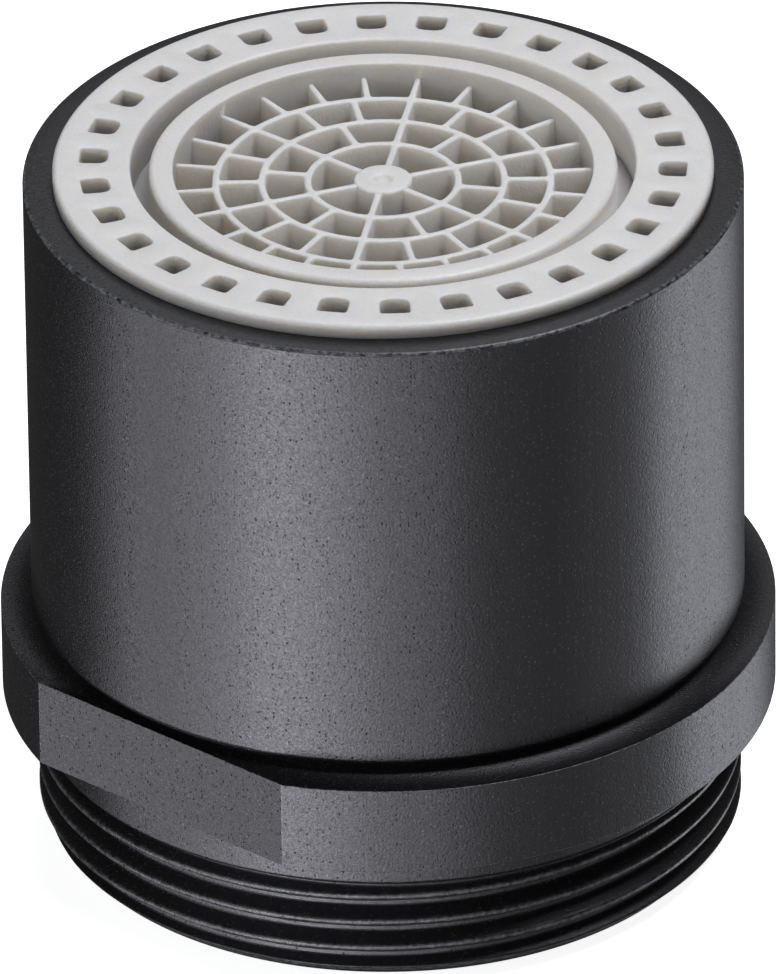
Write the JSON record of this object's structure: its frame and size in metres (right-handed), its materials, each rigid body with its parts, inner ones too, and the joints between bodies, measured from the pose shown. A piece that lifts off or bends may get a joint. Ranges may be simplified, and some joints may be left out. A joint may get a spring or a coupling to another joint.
{
  "type": "tap aerator",
  "caption": "Black tap aerator with a male spout thread, a flange with spanner flats, a plain sleeve and a light grey plastic insert with a slotted ring and a spider-web outlet grille.",
  "frame": {"origin": "centre of the spout gasket's lower face, on which the part stands", "axes": "+Z along the water to the outlet, up; the two spanner flats face +Y and -Y"},
  "size_m": [0.0262, 0.0242, 0.0251],
  "materials": {
    "black_coat": "matt black coating on brass",
    "grey_plastic": "satin moulded",
    "inner_plastic": "satin moulded",
    "black_rubber": "matt"
  },
  "bodies": {
    "root": {"spout_gasket": "black_rubber", "threaded_adapter": "black_coat", "sleeve": "black_coat", "inner_gasket": "black_rubber", "filter_screen": "inner_plastic", "jet_plate": "inner_plastic", "mixing_grid": "inner_plastic", "jet_former": "grey_plastic", "slotted_ring": "grey_plastic"}
  },
  "joints": []
}
